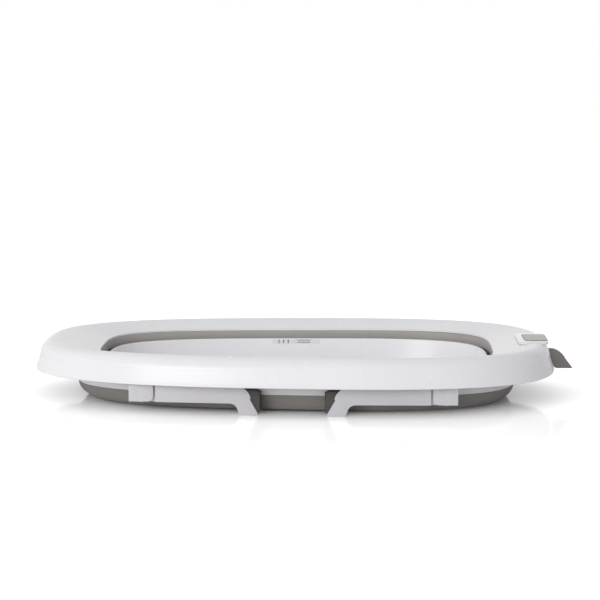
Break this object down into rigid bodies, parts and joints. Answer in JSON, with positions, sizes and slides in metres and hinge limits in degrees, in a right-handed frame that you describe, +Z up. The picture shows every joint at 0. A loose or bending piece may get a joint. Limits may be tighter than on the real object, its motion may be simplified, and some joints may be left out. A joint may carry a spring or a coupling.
{
  "type": "collapsible baby bath",
  "caption": "Collapsible infant bathtub with an egg-shaped rim, dropping basin on a rolling elastomer band, and fold-down legs.",
  "frame": {"origin": "middle of the folded bath's footprint, on the floor", "axes": "+X along the bath towards the thermometer and hook end, +Z up"},
  "size_m": [0.8538, 0.4916, 0.0915],
  "materials": {
    "white_plastic": "satin moulded polypropylene",
    "grey_plastic": "light grey moulded polypropylene",
    "grey_elastomer": "warm grey thermoplastic elastomer",
    "dark_elastomer": "dark grey thermoplastic elastomer",
    "dark_rubber": "ribbed dark grey rubber",
    "dark_plastic": "dark grey moulded plastic",
    "steel": "plated steel",
    "clear_lens": "clear moulded window",
    "display": "unlit liquid crystal cell",
    "board": "green circuit board"
  },
  "bodies": {
    "rim": {"rim_shell": "white_plastic", "collar_ring": "white_plastic", "lining_ring": "grey_elastomer", "fold_band": "dark_elastomer", "bracket_near_left": "grey_plastic", "bracket_near_right": "grey_plastic", "bracket_far_left": "grey_plastic", "bracket_far_right": "grey_plastic", "pin_near_left": "steel", "pin_near_right": "steel", "pin_far_left": "steel", "pin_far_right": "steel", "bracket_screws": "steel", "hook_pin": "steel", "hook_carrier": "white_plastic"},
    "basin": {"basin": "white_plastic", "drain_ring": "grey_elastomer", "base_pads": "dark_rubber"},
    "plug": {"drain_plug": "grey_elastomer", "plug_loop": "grey_elastomer"},
    "hook": {"hook": "dark_plastic"},
    "thermometer": {"therm_housing": "white_plastic", "therm_lens": "clear_lens", "therm_display": "display", "therm_board": "board", "therm_cell": "steel", "therm_door": "grey_plastic", "therm_screws": "steel"},
    "leg_near_left": {"leg_near_left": "grey_plastic", "foot_near_left": "dark_rubber"},
    "leg_near_right": {"leg_near_right": "grey_plastic", "foot_near_right": "dark_rubber"},
    "leg_far_left": {"leg_far_left": "grey_plastic", "foot_far_left": "dark_rubber"},
    "leg_far_right": {"leg_far_right": "grey_plastic", "foot_far_right": "dark_rubber"}
  },
  "joints": [
    {"name": "basin_drop", "type": "slide", "parent": "rim", "child": "basin", "axis": [0, 0, 1], "range_m": [-0.116, 0], "deforming": ["fold_band"]},
    {"name": "leg_fold_near_left", "type": "hinge", "parent": "rim", "child": "leg_near_left", "pos_m": [-0.24161, -0.19069, 0.0295], "axis": [0.0523, 0.9986, 0], "range_deg": [0, 90]},
    {"name": "leg_fold_near_right", "type": "hinge", "parent": "rim", "child": "leg_near_right", "pos_m": [0.21841, -0.20435, 0.0295], "axis": [0, -1, 0], "range_deg": [0, 90]},
    {"name": "leg_fold_far_left", "type": "hinge", "parent": "rim", "child": "leg_far_left", "pos_m": [-0.24161, 0.19069, 0.0295], "axis": [-0.0523, 0.9986, 0], "range_deg": [0, 90]},
    {"name": "leg_fold_far_right", "type": "hinge", "parent": "rim", "child": "leg_far_right", "pos_m": [0.21841, 0.20435, 0.0295], "axis": [0, -1, 0], "range_deg": [0, 90]},
    {"name": "plug_lift", "type": "slide", "parent": "basin", "child": "plug", "axis": [0, 0, 1], "range_m": [0, 0.03]},
    {"name": "hook_fold", "type": "hinge", "parent": "rim", "child": "hook", "pos_m": [0.3826, 0, 0.067], "axis": [0, 1, 0], "range_deg": [0, 85]},
    {"name": "thermometer_lift", "type": "slide", "parent": "rim", "child": "thermometer", "axis": [0, 0, 1], "range_m": [0, 0.03]}
  ]
}
